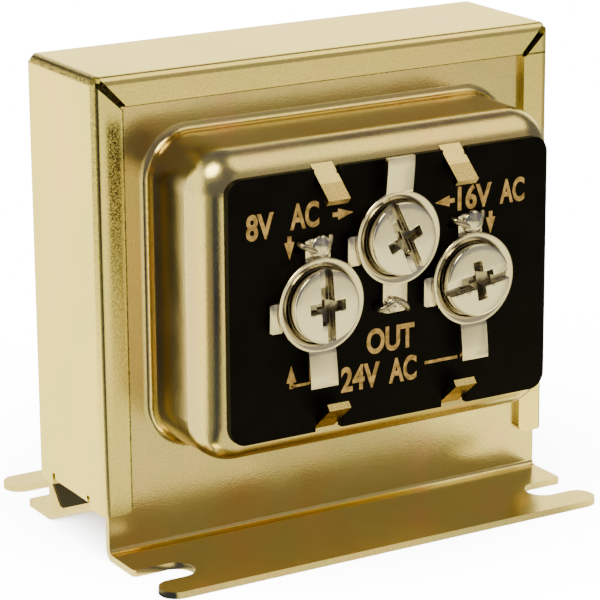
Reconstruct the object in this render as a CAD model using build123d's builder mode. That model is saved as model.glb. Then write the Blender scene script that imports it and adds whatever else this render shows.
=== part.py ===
# Multi-voltage bell transformer in a folded strap with two drawn covers.
# Millimetres. +Z is up, the terminal side faces -Y, +X is to its right.
# The origin is on the ground, at the middle of the four foot slots.
from build123d import *
import os

os.makedirs("parts", exist_ok=True)

# Laminated core of the 3/4 inch leg size
core_width = 57.15
core_height = 47.63
core_stack = 12.7
leg_width = 19.05
window_width = 9.525
window_height = 28.575
core_bottom = 6.45
core_hole_radius = 1.8

# Sheet metal and paper
cover_sheet = 0.8
strap_sheet = 0.8
liner_thickness = 0.4

# Clearances between pressed and fitted pieces
slip_gap = 0.02
side_gap = 0.125
top_gap = 0.12
plate_side_gap = 0.05

# Strap
lip_width = 3.5
strap_end = 5.45
strap_bend = 1.0
lip_end_radius = 1.0
mitre_wide = 0.7
mitre_narrow = 0.5
relief_size = 0.6
tongue_width = 8.0
tongue_length = 4.0
tongue_bend = 0.15
tongue_slit = 0.7
tongue_relief = 0.3

# Covers
foot_reach = 14.0
foot_bend = 0.6
slot_width = 4.3
slot_depth = 6.25
slot_from_plate = 5.8
outer_prong_radius = 1.9
inner_prong_radius = 0.5
dome_side_margin = 2.55
dome_end_margin = 2.85
dome_height = 12.6
dome_draft = 0.8
dome_corner = 5.0
dome_shoulder = 4.4
dome_root = 1.0
hollow_chamfer = 2.1
mouth_chamfer = 1.0

# Terminal board and its four bent tabs
board_width = 40.9
board_tall = 29.5
board_thickness = 0.8
board_rise = 0.2
board_corner = 1.9
notch_width = 3.0
notch_depth = 2.0
tab_spacing = 16.4
tab_width = 2.7
tab_rise = 2.0
tab_lean = 0.84
tab_side_gap = 0.3
lead_window_width = 30.0
lead_window_tall = 16.5
lead_window_corner = 2.0
lead_window_rise = 3.2

# Terminals and their screws
terminal_spacing = 9.8
centre_terminal_rise = 6.3
outer_terminal_rise = 0.2
terminal_sheet = 0.6
cup_radius = 5.3
cup_floor_radius = 4.75
cup_height = 1.45
cup_rim = 0.35
collar_radius = 3.0
collar_flare = 3.7
collar_flare_thickness = 0.4
hole_gap = 0.05
strap_tab_width = 3.4
strap_tab_length = 3.8
strap_tab_rise = 0.45
strap_tab_tip = 1.0
lug_width = 3.1
lug_reach = 7.3
centre_lug_reach = 8.6
lug_eye_radius = 0.55
ear_height = 3.3
ear_reach = 6.2
ear_drop = 0.8
screw_head_radius = 4.05
screw_head_height = 2.2
screw_head_crown = 0.35
screw_undercut = 0.35
screw_undercut_radius = 3.2
screw_radius = 2.05
screw_length = 4.6
screw_tip = 0.5
screw_slot_width = 1.15
screw_slot_depth = 0.9
recess_span = 4.4
recess_arm = 1.0
recess_depth = 1.5
recess_taper = 12.0
left_screw_turn = 1.0
centre_screw_turn = 23.0
right_screw_turn = -82.0

# Winding on its bobbin
bobbin_gap = 0.2
bobbin_wall = 1.0
bobbin_side_gap = 0.3
coil_overhang = 9.1
primary_build = 3.6
secondary_build = 3.2
paper_build = 0.25
wrap_build = 0.3
turn_gap = 0.03
winding_corner = 0.6

# Liners, leads and the rear bush
liner_edge_gap = 0.05
liner_end = 1.6
liner_taper_start = 5.2
liner_taper = 1.1
coil_opening_gap = 0.3
lead_radius = 0.4
lead_side_gap = 0.1
lead_lift = 0.05
lead_from_lug_end = 1.0
lead_hole_radius = 0.6
solder_radius = 0.95
solder_end_radius = 0.5
solder_length = 2.4
bush_bore_radius = 3.2
bush_barrel_radius = 4.6
bush_flange_radius = 6.2
bush_flange_thickness = 1.5
bush_flange_chamfer = 0.5
bush_lip_radius = 5.0
bush_lip_thickness = 1.2
bush_drop = 6.0

# Places worked out from the sizes above
core_centre = core_bottom + core_height / 2
core_top = core_bottom + core_height
liner_back = core_stack / 2 + slip_gap
liner_front = liner_back + liner_thickness
plate_back = liner_front + slip_gap
plate_front = plate_back + cover_sheet
lip_back = plate_front + slip_gap
lip_front = lip_back + strap_sheet
strap_inside = core_width + 2 * side_gap
strap_width = strap_inside + 2 * strap_sheet
strap_inside_top = core_top + top_gap
strap_top = strap_inside_top + strap_sheet
plate_width = strap_inside - 2 * plate_side_gap
plate_top = strap_inside_top - plate_side_gap
dome_width = board_width + 2 * dome_side_margin
dome_tall = board_tall + 2 * dome_end_margin
dome_face = plate_front + dome_height
foot_front = plate_front + foot_reach
slot_inner = plate_front + slot_from_plate
slot_middle = slot_inner + slot_width / 2
board_back = dome_face + slip_gap
board_front = board_back + board_thickness
board_centre = core_centre + board_rise
outer_terminal_z = core_centre + outer_terminal_rise
centre_terminal_z = core_centre + centre_terminal_rise
floor_front = board_front + terminal_sheet
lug_front = floor_front - slip_gap
lug_sheet = lug_front - board_front - slip_gap
lead_window_z = core_centre + lead_window_rise
bobbin_inside_x = leg_width / 2 + bobbin_gap
bobbin_inside_y = core_stack / 2 + bobbin_gap
bobbin_tall = window_height - 2 * bobbin_gap
bobbin_flange_x = leg_width / 2 + window_width - bobbin_side_gap
bobbin_flange_y = core_stack / 2 + coil_overhang
winding_tall = bobbin_tall - 2 * bobbin_wall - 2 * turn_gap
winding_offset = bobbin_inside_x - bobbin_inside_y
primary_start = bobbin_inside_x + bobbin_wall + turn_gap
primary_end = primary_start + primary_build
paper_start = primary_end + turn_gap
paper_end = paper_start + paper_build
secondary_start = paper_end + turn_gap
secondary_end = secondary_start + secondary_build
wrap_start = secondary_end + turn_gap
wrap_end = wrap_start + wrap_build
coil_front = wrap_end - winding_offset


def front_plane(distance, z):
    """A plane that faces the terminal side, at a distance in front of the middle."""
    return Plane(origin=(0, -distance, z), x_dir=(1, 0, 0), z_dir=(0, -1, 0))


def side_plane(x):
    """A plane that faces left, its first axis towards the terminal side and its second up."""
    return Plane(origin=(x, 0, 0), x_dir=(0, -1, 0), z_dir=(-1, 0, 0))


def level_plane(x, z):
    """A level plane through a screw's axis, for sections that are turned around it."""
    return Plane(origin=(x, 0, z), x_dir=(1, 0, 0), z_dir=(0, 0, 1))


def slab(x_min, x_max, y_min, y_max, z_min, z_max, mode=Mode.ADD):
    """A block between stated limits, for clearing or filling a square-edged place."""
    with Locations(((x_min + x_max) / 2, (y_min + y_max) / 2, (z_min + z_max) / 2)):
        Box(x_max - x_min, y_max - y_min, z_max - z_min, mode=mode)


# Housing strap: one folded channel over the top and both sides of the stack
with BuildPart() as strap:
    slab(-strap_width / 2, strap_width / 2, -lip_front, lip_front, strap_end, strap_top)
    long_bends = strap.edges().filter_by(Axis.X).group_by(Axis.Z)[-1]
    long_bends += strap.edges().filter_by(Axis.Y).group_by(Axis.Z)[-1]
    long_bends += strap.edges().filter_by(Axis.Z)
    fillet(long_bends, strap_bend)
    with BuildSketch(Plane.XY.offset(strap_end)):
        Rectangle(strap_inside, 2 * lip_back)
    extrude(amount=strap_inside_top - strap_end, mode=Mode.SUBTRACT)
    lip_opening_x = strap_width / 2 - lip_width
    lip_opening_top = strap_top - lip_width
    slab(
        -lip_opening_x, lip_opening_x, -lip_front, lip_front,
        strap_end, lip_opening_top, mode=Mode.SUBTRACT,
    )
    lip_ends = strap.edges().filter_by(Axis.Y).group_by(Axis.Z)[0]
    lip_ends = lip_ends.filter_by(lambda e: abs(abs(e.center().X) - lip_opening_x) < lip_width / 10)
    fillet(lip_ends, lip_end_radius)
    # Open mitres, wide at the corner where the blank was notched before folding
    corner_x = strap_width / 2
    for side in (-1, 1):
        inner = (side * lip_opening_x, lip_opening_top)
        outer = (side * corner_x, strap_top)
        narrow = mitre_narrow / 2
        wide = mitre_wide / 2
        for face in (-1, 1):
            start = lip_back - relief_size / 2
            with BuildSketch(front_plane(-face * start, 0)):
                with BuildLine():
                    Polyline(
                        (inner[0] - side * narrow, inner[1] + narrow),
                        (inner[0] - side * narrow, inner[1] - narrow),
                        (inner[0] + side * narrow, inner[1] - narrow),
                        (outer[0] + side * wide, outer[1] - wide),
                        (outer[0] + side * wide, outer[1] + wide),
                        (outer[0] - side * wide, outer[1] + wide),
                        close=True,
                    )
                make_face()
            extrude(amount=-face * (lip_front - start + strap_sheet), mode=Mode.SUBTRACT)
    # Tongues bent in under the core, one at the end of each side wall
    tongue_top = core_bottom - slip_gap
    tongue_under = tongue_top - strap_sheet
    tongue_turn = tongue_bend + strap_sheet
    tongue_root = tongue_under + tongue_turn + tongue_relief
    for side in (-1, 1):
        outside = side * strap_width / 2
        inside = side * strap_inside / 2
        slab(
            min(outside, inside), max(outside, inside),
            -tongue_width / 2 - tongue_slit, tongue_width / 2 + tongue_slit,
            strap_end, tongue_root, mode=Mode.SUBTRACT,
        )
        with BuildSketch(Plane.XZ.offset(-tongue_width / 2)):
            with BuildLine():
                outer_side = Line((outside, tongue_root), (outside, tongue_under + tongue_turn))
                outer_bend = RadiusArc(
                    outer_side @ 1,
                    (outside - side * tongue_turn, tongue_under),
                    side * tongue_turn,
                )
                under = Line(outer_bend @ 1, (outside - side * tongue_length, tongue_under))
                tip = Line(under @ 1, (outside - side * tongue_length, tongue_top))
                upper = Line(tip @ 1, (inside - side * tongue_bend, tongue_top))
                inner_bend = RadiusArc(
                    upper @ 1, (inside, tongue_top + tongue_bend), -side * tongue_bend
                )
                inner_side = Line(inner_bend @ 1, (inside, tongue_root))
                Line(inner_side @ 1, outer_side @ 0)
            make_face()
        extrude(amount=tongue_width)
strap.part.label = "housing_strap"
export_step(strap.part, "parts/housing_strap.step")


def cover(face):
    """One drawn cover: plate, dome and slotted foot. The front one has face 1, the rear one -1."""
    with BuildPart() as hollow:
        with BuildSketch(front_plane(plate_back, core_centre)):
            RectangleRounded(
                dome_width - 2 * cover_sheet, dome_tall - 2 * cover_sheet, dome_corner - cover_sheet
            )
        extrude(amount=dome_height, taper=dome_draft)
        chamfer(hollow.faces().sort_by(Axis.Y)[0].edges(), hollow_chamfer)
    with BuildPart() as drawn:
        with BuildSketch(side_plane(-plate_width / 2)):
            with BuildLine():
                outer_turn = foot_bend + cover_sheet
                back = Line((plate_back, plate_top), (plate_back, outer_turn))
                heel = RadiusArc(back @ 1, (plate_back + outer_turn, 0), -outer_turn)
                sole = Line(heel @ 1, (foot_front, 0))
                toe = Line(sole @ 1, (foot_front, cover_sheet))
                instep = Line(toe @ 1, (plate_front + foot_bend, cover_sheet))
                ankle = RadiusArc(instep @ 1, (plate_front, cover_sheet + foot_bend), foot_bend)
                shin = Line(ankle @ 1, (plate_front, plate_top))
                Line(shin @ 1, back @ 0)
            make_face()
        extrude(amount=-plate_width)
        # The dome is drawn out of the plate and hollowed by the same sheet
        with BuildSketch(front_plane(plate_front, core_centre)):
            RectangleRounded(dome_width, dome_tall, dome_corner)
        extrude(amount=dome_height, taper=dome_draft)
        dome_front = drawn.faces().filter_by(Axis.Y).sort_by(lambda f: abs(f.center().Y + dome_face))
        fillet(dome_front[0].edges(), dome_shoulder)
        root = drawn.edges().filter_by(
            lambda e: abs(e.center().Y + plate_front) < slip_gap and e.center().Z > strap_end
        )
        root = root.filter_by(lambda e: e.center().Z < plate_top - cover_sheet)
        root = root.filter_by(lambda e: abs(e.center().X) < dome_width / 2 + slip_gap)
        fillet(root, dome_root)
        add(hollow.part, mode=Mode.SUBTRACT)
        mouth = drawn.faces().filter_by(
            lambda f: abs(f.center().Y + plate_back) < slip_gap and abs(f.normal_at().Y) > 0.99
        )
        mouth_edges = mouth.sort_by(SortBy.AREA)[-1].inner_wires()[0].edges()
        chamfer(mouth_edges, mouth_chamfer)
        # Open slots for the mounting screws, between an inner and an outer prong
        for side in (-1, 1):
            slot_end = side * (plate_width / 2 - slot_depth)
            round_middle = slot_end + side * slot_width / 2
            with BuildSketch(Plane.XY):
                with Locations((round_middle, -slot_middle)):
                    Circle(slot_width / 2)
                with Locations(((round_middle + side * plate_width / 2) / 2, -slot_middle)):
                    Rectangle(abs(side * plate_width / 2 - round_middle), slot_width)
            extrude(amount=cover_sheet, mode=Mode.SUBTRACT)
        prongs = drawn.edges().filter_by(Axis.Z).filter_by(
            lambda e: e.center().Z < cover_sheet and abs(abs(e.center().X) - plate_width / 2) < slip_gap
        )
        tips = prongs.filter_by(lambda e: -e.center().Y > slot_middle)
        fillet(tips, outer_prong_radius)
        heels = drawn.edges().filter_by(Axis.Z).filter_by(
            lambda e: e.center().Z < cover_sheet
            and abs(abs(e.center().X) - plate_width / 2) < slip_gap
            and plate_front + foot_bend < -e.center().Y < slot_middle
        )
        fillet(heels, inner_prong_radius)
        if face > 0:
            # Window for the leads, and four tabs lanced from the face and bent over the board
            with BuildSketch(front_plane(dome_face - 2 * cover_sheet, lead_window_z)):
                RectangleRounded(lead_window_width, lead_window_tall, lead_window_corner)
            extrude(amount=3 * cover_sheet, mode=Mode.SUBTRACT)
            for side in (-1, 1):
                for up in (-1, 1):
                    # The tab leans in over the board, just clear of the notch's end
                    notch_end = board_centre + up * (board_tall / 2 - notch_depth + 3 * slip_gap)
                    slant = (1 + tab_lean**2) ** 0.5
                    tab_back = dome_face - 0.9 * cover_sheet
                    tab_front = board_front + tab_rise
                    back_z = notch_end + up * tab_lean * (board_front - tab_back)
                    face_z = notch_end + up * tab_lean * (board_front - dome_face)
                    front_z = notch_end - up * tab_lean * tab_rise
                    hole_end = face_z - up * (tab_front - dome_face) * slant
                    left = side * tab_spacing / 2 - tab_width / 2
                    right = left + tab_width
                    slab(
                        left - tab_side_gap, right + tab_side_gap,
                        -dome_face - slip_gap, -dome_face + 1.5 * cover_sheet,
                        min(face_z, hole_end), max(face_z, hole_end), mode=Mode.SUBTRACT,
                    )
                    with BuildSketch(side_plane(left)):
                        with BuildLine():
                            Polyline(
                                (tab_back, back_z),
                                (tab_front, front_z),
                                (
                                    tab_front + cover_sheet * tab_lean / slant,
                                    front_z + up * cover_sheet / slant,
                                ),
                                (tab_back, back_z + up * cover_sheet * slant),
                                close=True,
                            )
                        make_face()
                    extrude(amount=-tab_width)
        else:
            with BuildSketch(front_plane(dome_face - 2 * cover_sheet, core_centre - bush_drop)):
                Circle(bush_barrel_radius + hole_gap)
            extrude(amount=3 * cover_sheet, mode=Mode.SUBTRACT)
    return drawn.part


front_cover = cover(1)
front_cover.label = "front_cover"
export_step(front_cover, "parts/front_cover.step")

with BuildPart() as rear_cover:
    add(cover(-1).rotate(Axis.Z, 180))
rear_cover.part.label = "rear_cover"
export_step(rear_cover.part, "parts/rear_cover.step")


def lamination_holes(z_places):
    """The clearance holes at the corners of the laminations."""
    with BuildSketch(front_plane(core_stack / 2, 0)) as holes:
        for z in z_places:
            with Locations(
                (-core_width / 2 + window_width / 2, z), (core_width / 2 - window_width / 2, z)
            ):
                Circle(core_hole_radius)
    extrude(holes.sketch, amount=-core_stack, mode=Mode.SUBTRACT)


# E laminations, back at the top, and the I laminations that close them below
yoke = (core_height - window_height) / 2
with BuildPart() as e_laminations:
    with BuildSketch(front_plane(core_stack / 2, 0)):
        with Locations((0, (core_top + core_bottom + yoke) / 2)):
            Rectangle(core_width, core_height - yoke)
        window_middle = leg_width / 2 + window_width / 2
        window_z = core_bottom + yoke + window_height / 2
        with Locations((-window_middle, window_z), (window_middle, window_z)):
            Rectangle(window_width, window_height, mode=Mode.SUBTRACT)
    extrude(amount=-core_stack)
    lamination_holes([core_top - yoke / 2])
e_laminations.part.label = "e_laminations"
export_step(e_laminations.part, "parts/e_laminations.step")

with BuildPart() as i_laminations:
    with BuildSketch(front_plane(core_stack / 2, core_bottom + yoke / 2)):
        Rectangle(core_width, yoke)
    extrude(amount=-core_stack)
    lamination_holes([core_bottom + yoke / 2])
i_laminations.part.label = "i_laminations"
export_step(i_laminations.part, "parts/i_laminations.step")

# Bobbin on the middle leg, with a flange at each end
coil_middle = core_bottom + yoke + window_height / 2
with BuildPart() as bobbin:
    with BuildSketch(Plane.XY.offset(coil_middle - bobbin_tall / 2)):
        tube_x = bobbin_inside_x + bobbin_wall
        tube_y = bobbin_inside_y + bobbin_wall
        RectangleRounded(2 * tube_x, 2 * tube_y, winding_corner)
    extrude(amount=bobbin_tall)
    for flange_z in (coil_middle - bobbin_tall / 2, coil_middle + bobbin_tall / 2 - bobbin_wall):
        with BuildSketch(Plane.XY.offset(flange_z)):
            RectangleRounded(2 * bobbin_flange_x, 2 * bobbin_flange_y, winding_corner)
        extrude(amount=bobbin_wall)
    with BuildSketch(Plane.XY.offset(coil_middle - bobbin_tall / 2)):
        Rectangle(2 * bobbin_inside_x, 2 * bobbin_inside_y)
    extrude(amount=bobbin_tall, mode=Mode.SUBTRACT)
bobbin.part.label = "bobbin"
export_step(bobbin.part, "parts/bobbin.step")

# Winding layers, each a ring between the bobbin's flanges
layers = (
    ("primary_winding", primary_start, primary_end),
    ("interwinding_paper", paper_start, paper_end),
    ("secondary_winding", secondary_start, secondary_end),
    ("outer_wrap", wrap_start, wrap_end),
)
for layer_name, inner_x, outer_x in layers:
    with BuildPart() as layer:
        with BuildSketch(Plane.XY.offset(coil_middle - winding_tall / 2)):
            outer_corner = winding_corner + outer_x - primary_start
            inner_corner = winding_corner + inner_x - primary_start
            RectangleRounded(2 * outer_x, 2 * (outer_x - winding_offset), outer_corner)
            RectangleRounded(
                2 * inner_x, 2 * (inner_x - winding_offset), inner_corner, mode=Mode.SUBTRACT
            )
        extrude(amount=winding_tall)
    layer.part.label = layer_name
    export_step(layer.part, "parts/" + layer_name + ".step")

# Insulating liners between the core and each cover, cut out for the winding
for liner_name, face in (("front_liner", 1), ("rear_liner", -1)):
    with BuildPart() as liner:
        with BuildSketch(front_plane(face * liner_back, 0)):
            half = plate_width / 2 - liner_edge_gap
            with BuildLine():
                Polyline(
                    (-half, plate_top),
                    (-half, liner_taper_start),
                    (-half + liner_taper, liner_end),
                    (half - liner_taper, liner_end),
                    (half, liner_taper_start),
                    (half, plate_top),
                    close=True,
                )
            make_face()
            with Locations((0, coil_middle)):
                Rectangle(
                    2 * (bobbin_flange_x + coil_opening_gap),
                    bobbin_tall + 2 * coil_opening_gap,
                    mode=Mode.SUBTRACT,
                )
        extrude(amount=face * liner_thickness)
    liner.part.label = liner_name
    export_step(liner.part, "parts/" + liner_name + ".step")

# The three terminals: name, place, and which way the solder lug points
terminals = (
    ("left", -terminal_spacing, outer_terminal_z, 1, lug_reach, left_screw_turn),
    ("centre", 0, centre_terminal_z, -1, centre_lug_reach, centre_screw_turn),
    ("right", terminal_spacing, outer_terminal_z, 1, lug_reach, right_screw_turn),
)

# Terminal board with notches for the tabs and holes for collars, ears and leads
with BuildPart() as terminal_board:
    with BuildSketch(front_plane(board_back, board_centre)):
        RectangleRounded(board_width, board_tall, board_corner)
        for side in (-1, 1):
            for up in (-1, 1):
                with Locations((side * tab_spacing / 2, up * (board_tall - notch_depth) / 2)):
                    Rectangle(notch_width + tab_side_gap, notch_depth, mode=Mode.SUBTRACT)
    extrude(amount=board_thickness)
    with BuildSketch(front_plane(board_back, 0)):
        for place, x, z, lug_up, reach, turn in terminals:
            with Locations((x, z)):
                Circle(collar_radius + hole_gap)
            lead_x = x - lug_width / 2 - lead_side_gap - lead_radius
            with Locations((lead_x, z + lug_up * (reach - lead_from_lug_end))):
                Circle(lead_hole_radius)
    extrude(amount=board_thickness, mode=Mode.SUBTRACT)
terminal_board.part.label = "terminal_board"
export_step(terminal_board.part, "parts/terminal_board.step")

for place, x, z, lug_up, reach, turn in terminals:
    # Pressed terminal: cup, tapped collar flared behind the board, strap tab, ear and lug
    rim_front = board_front + cup_height
    with BuildPart() as terminal:
        with BuildSketch(level_plane(x, z)):
            with BuildLine():
                flare_back = -board_back + slip_gap
                Polyline(
                    (screw_radius + hole_gap, flare_back + collar_flare_thickness),
                    (screw_radius + hole_gap, -floor_front),
                    (cup_floor_radius - terminal_sheet, -floor_front),
                    (cup_radius - terminal_sheet - cup_rim, -rim_front),
                    (cup_radius - cup_rim / 2, -rim_front),
                    (cup_radius, -rim_front + cup_rim),
                    (cup_floor_radius, -board_front - slip_gap),
                    (collar_radius, -board_front - slip_gap),
                    (collar_radius, flare_back),
                    (collar_flare, flare_back),
                    (collar_flare, flare_back + collar_flare_thickness),
                    close=True,
                )
            make_face()
        revolve(axis=Axis((x, 0, z), (0, 1, 0)), revolution_arc=360)
        # Strap tab, bent forward from the rim and creased near its end
        tab_start = z - lug_up * (cup_radius - terminal_sheet)
        tab_crease = z - lug_up * (cup_radius + strap_tab_length - strap_tab_tip)
        tab_end = z - lug_up * (cup_radius + strap_tab_length)
        with BuildSketch(side_plane(x - strap_tab_width / 2)):
            with BuildLine():
                Polyline(
                    (rim_front - terminal_sheet, tab_start),
                    (rim_front - 2 * slip_gap, tab_start),
                    (rim_front + strap_tab_rise, tab_crease),
                    (rim_front + strap_tab_rise, tab_end),
                    (rim_front + strap_tab_rise - terminal_sheet, tab_end),
                    (rim_front + strap_tab_rise - terminal_sheet, tab_crease),
                    close=True,
                )
            make_face()
        extrude(amount=-strap_tab_width)
        # Solder lug with its eye, flat on the board
        with BuildSketch(front_plane(board_front + slip_gap, z)):
            lug_start = lug_up * (cup_floor_radius - 2 * terminal_sheet)
            lug_round = lug_up * (reach - lug_width / 2)
            with Locations((x, (lug_start + lug_round) / 2)):
                Rectangle(lug_width, abs(lug_round - lug_start))
            with Locations((x, lug_round)):
                Circle(lug_width / 2)
                Circle(lug_eye_radius, mode=Mode.SUBTRACT)
        extrude(amount=lug_sheet)
        # Ear at the left of the cup
        with BuildSketch(front_plane(board_front + slip_gap, z - ear_drop)):
            ear_start = x - cup_floor_radius + 2 * terminal_sheet
            with Locations(((ear_start + x - ear_reach) / 2, 0)):
                Rectangle(ear_start - x + ear_reach, ear_height)
        extrude(amount=lug_sheet)
    terminal.part.label = "terminal_" + place
    export_step(terminal.part, "parts/terminal_" + place + ".step")

    # Screw: thick head over an undercut, one slot and a cross recess
    seat = floor_front + slip_gap
    head_face = seat + screw_head_height
    with BuildPart() as screw:
        with BuildSketch(level_plane(x, z)):
            with BuildLine():
                Polyline(
                    (0, -head_face),
                    (screw_head_radius - screw_head_crown, -head_face),
                    (screw_head_radius, -head_face + screw_head_crown),
                    (screw_head_radius, -seat - screw_undercut),
                    (screw_undercut_radius, -seat - screw_undercut),
                    (screw_undercut_radius, -seat),
                    (screw_radius, -seat),
                    (screw_radius, -seat + screw_length - screw_tip),
                    (screw_radius - screw_tip, -seat + screw_length),
                    (0, -seat + screw_length),
                    close=True,
                )
            make_face()
        revolve(axis=Axis((x, 0, z), (0, 1, 0)), revolution_arc=360)
        turned_x = Vector(1, 0, 0).rotate(Axis.Y, -turn)
        head_plane = Plane(origin=(x, -head_face, z), x_dir=turned_x, z_dir=(0, -1, 0))
        with BuildSketch(head_plane):
            Rectangle(screw_slot_width, 2 * screw_head_radius + screw_slot_width)
        extrude(amount=-screw_slot_depth, mode=Mode.SUBTRACT)
        with BuildSketch(head_plane):
            Rectangle(recess_arm, recess_span)
            Rectangle(recess_span, recess_arm)
        extrude(amount=-recess_depth, taper=recess_taper, mode=Mode.SUBTRACT)
    screw.part.label = "screw_" + place
    export_step(screw.part, "parts/screw_" + place + ".step")

    # Secondary lead: out of the winding, through the board, over the lug and back
    lead_z = z + lug_up * (reach - lead_from_lug_end)
    lead_half = lug_width / 2 + lead_side_gap + lead_radius
    lead_top = lug_front + lead_lift + lead_radius
    with BuildPart() as lead:
        with BuildLine() as route:
            Polyline(
                (x - lead_half, -coil_front - slip_gap, lead_z),
                (x - lead_half, -lead_top, lead_z),
                (x + lead_half, -lead_top, lead_z),
                (x + lead_half, -board_front - slip_gap - lead_lift, lead_z),
            )
        with BuildSketch(Plane(origin=route.line @ 0, z_dir=route.line % 0)):
            Circle(lead_radius)
        sweep(transition=Transition.RIGHT)
    lead.part.label = "secondary_lead_" + place
    export_step(lead.part, "parts/secondary_lead_" + place + ".step")

    # Solder around the lead where it crosses the lug
    with BuildPart() as solder:
        with BuildSketch(Plane(origin=(x, -lead_top, lead_z), x_dir=(1, 0, 0), z_dir=(0, 0, 1))):
            half_length = solder_length / 2
            with BuildLine():
                Polyline(
                    (-half_length, lead_radius),
                    (-half_length, solder_end_radius),
                    (-half_length / 3, solder_radius),
                    (half_length / 3, solder_radius),
                    (half_length, solder_end_radius),
                    (half_length, lead_radius),
                    close=True,
                )
            make_face()
        revolve(axis=Axis((x, -lead_top, lead_z), (1, 0, 0)), revolution_arc=360)
        split(bisect_by=front_plane(lug_front, lead_z), keep=Keep.TOP)
    solder.part.label = "solder_joint_" + place
    export_step(solder.part, "parts/solder_joint_" + place + ".step")

# Snap-in bush in the rear cover, where the supply leads go in
with BuildPart() as bush:
    bush_plane = Plane(origin=(0, dome_face, core_centre - bush_drop), x_dir=(-1, 0, 0), z_dir=(0, 1, 0))
    with BuildSketch(bush_plane.offset(slip_gap)):
        Circle(bush_flange_radius)
    extrude(amount=bush_flange_thickness)
    chamfer(bush.faces().sort_by(Axis.Y)[-1].edges(), bush_flange_chamfer)
    barrel_length = cover_sheet + 2 * slip_gap + bush_lip_thickness
    with BuildSketch(bush_plane.offset(slip_gap - barrel_length)):
        Circle(bush_barrel_radius)
    extrude(amount=barrel_length)
    with BuildSketch(bush_plane.offset(slip_gap - barrel_length)):
        Circle(bush_lip_radius)
    extrude(amount=bush_lip_thickness)
    with BuildSketch(bush_plane.offset(slip_gap - barrel_length)):
        Circle(bush_bore_radius)
    extrude(amount=barrel_length + bush_flange_thickness, mode=Mode.SUBTRACT)
bush.part.label = "rear_lead_bush"
export_step(bush.part, "parts/rear_lead_bush.step")
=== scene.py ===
# A three-voltage bell transformer in plated sheet steel, seen from its front left.
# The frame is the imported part: +Z up, the terminals face -Y, and metres throughout.
import math

import bpy
from mathutils import Matrix, Vector


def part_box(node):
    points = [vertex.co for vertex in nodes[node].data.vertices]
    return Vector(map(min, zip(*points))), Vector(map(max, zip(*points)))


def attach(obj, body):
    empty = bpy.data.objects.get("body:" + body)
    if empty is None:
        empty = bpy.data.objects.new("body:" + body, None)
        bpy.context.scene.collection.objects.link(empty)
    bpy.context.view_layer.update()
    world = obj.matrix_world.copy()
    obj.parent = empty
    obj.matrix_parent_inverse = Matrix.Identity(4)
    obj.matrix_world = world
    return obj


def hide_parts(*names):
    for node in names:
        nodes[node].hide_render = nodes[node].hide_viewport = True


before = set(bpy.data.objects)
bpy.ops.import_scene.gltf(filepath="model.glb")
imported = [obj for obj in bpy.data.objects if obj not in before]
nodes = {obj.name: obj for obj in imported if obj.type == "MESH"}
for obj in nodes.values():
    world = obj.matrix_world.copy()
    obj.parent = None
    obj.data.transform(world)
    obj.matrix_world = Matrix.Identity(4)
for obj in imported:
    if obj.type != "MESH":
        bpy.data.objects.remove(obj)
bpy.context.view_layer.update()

# Housing strap: 0.8 mm cold-rolled steel, blanked, folded over the stack and zinc plated,
# then dipped in yellow chromate. It keeps the shape of its CAD node.
mm = 0.001


def linear(hex_colour):
    """The linear colour of an sRGB hex value."""
    channels = [int(hex_colour[i : i + 2], 16) / 255 for i in (1, 3, 5)]
    return tuple(c / 12.92 if c <= 0.04045 else ((c + 0.055) / 1.055) ** 2.4 for c in channels) + (1,)


def add(tree, kind, inputs=None, **settings):
    """Adds a node with its settings. Each input takes a value or another node's output."""
    node = tree.nodes.new(kind)
    for key, value in settings.items():
        setattr(node, key, value)
    for socket, source in (inputs or {}).items():
        if isinstance(source, bpy.types.NodeSocket):
            tree.links.new(source, node.inputs[socket])
        else:
            node.inputs[socket].default_value = source
    return node


def new_material(name, roughness=0.5, metallic=0.0):
    """A plain material with its shader, and where its patterns are read."""
    material = bpy.data.materials.new(name)
    material.use_nodes = True
    tree = material.node_tree
    shader = tree.nodes["Principled BSDF"]
    shader.inputs["Roughness"].default_value = roughness
    shader.inputs["Metallic"].default_value = metallic
    place = add(tree, "ShaderNodeTexCoord").outputs["Object"]
    return material, tree, shader, place


def gathered(tree, how, *amounts):
    """Several amounts put together, each a number or a pattern: their sum, product or greatest."""
    result = amounts[0]
    for amount in amounts[1:]:
        result = add(tree, "ShaderNodeMath", {0: result, 1: amount}, operation=how).outputs["Value"]
    return result


def soft_part(tree, *edges, most=1.0):
    """The part of a surface inside soft edges, each (distance, where it begins, where it is full)."""
    share = most
    for distance, begins, full in edges:
        edge = add(
            tree, "ShaderNodeMapRange", {"Value": distance, "From Min": begins, "From Max": full},
            interpolation_type="SMOOTHSTEP",
        )
        share = gathered(tree, "MULTIPLY", share, edge.outputs["Result"])
    return share


def mottle(tree, shader, place, size, detail, shades, low=0.0, high=1.0, roughness=0.5):
    """Colours a surface in shades that drift over a size in millimetres. Gives colour and drift."""
    drift = add(
        tree, "ShaderNodeTexNoise",
        {"Scale": 1 / (size * mm), "Detail": detail, "Roughness": roughness, "Vector": place},
    ).outputs["Fac"]
    colour = add(tree, "ShaderNodeValToRGB", {"Fac": drift})
    steps = colour.color_ramp.elements
    steps[0].position, steps[1].position = low, high
    for index in range(1, len(shades) - 1):
        steps.new(low + (high - low) * index / (len(shades) - 1))
    for step, shade in zip(steps, shades):
        step.color = linear(shade)
    tree.links.new(colour.outputs["Color"], shader.inputs["Base Color"])
    return colour.outputs["Color"], drift


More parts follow.
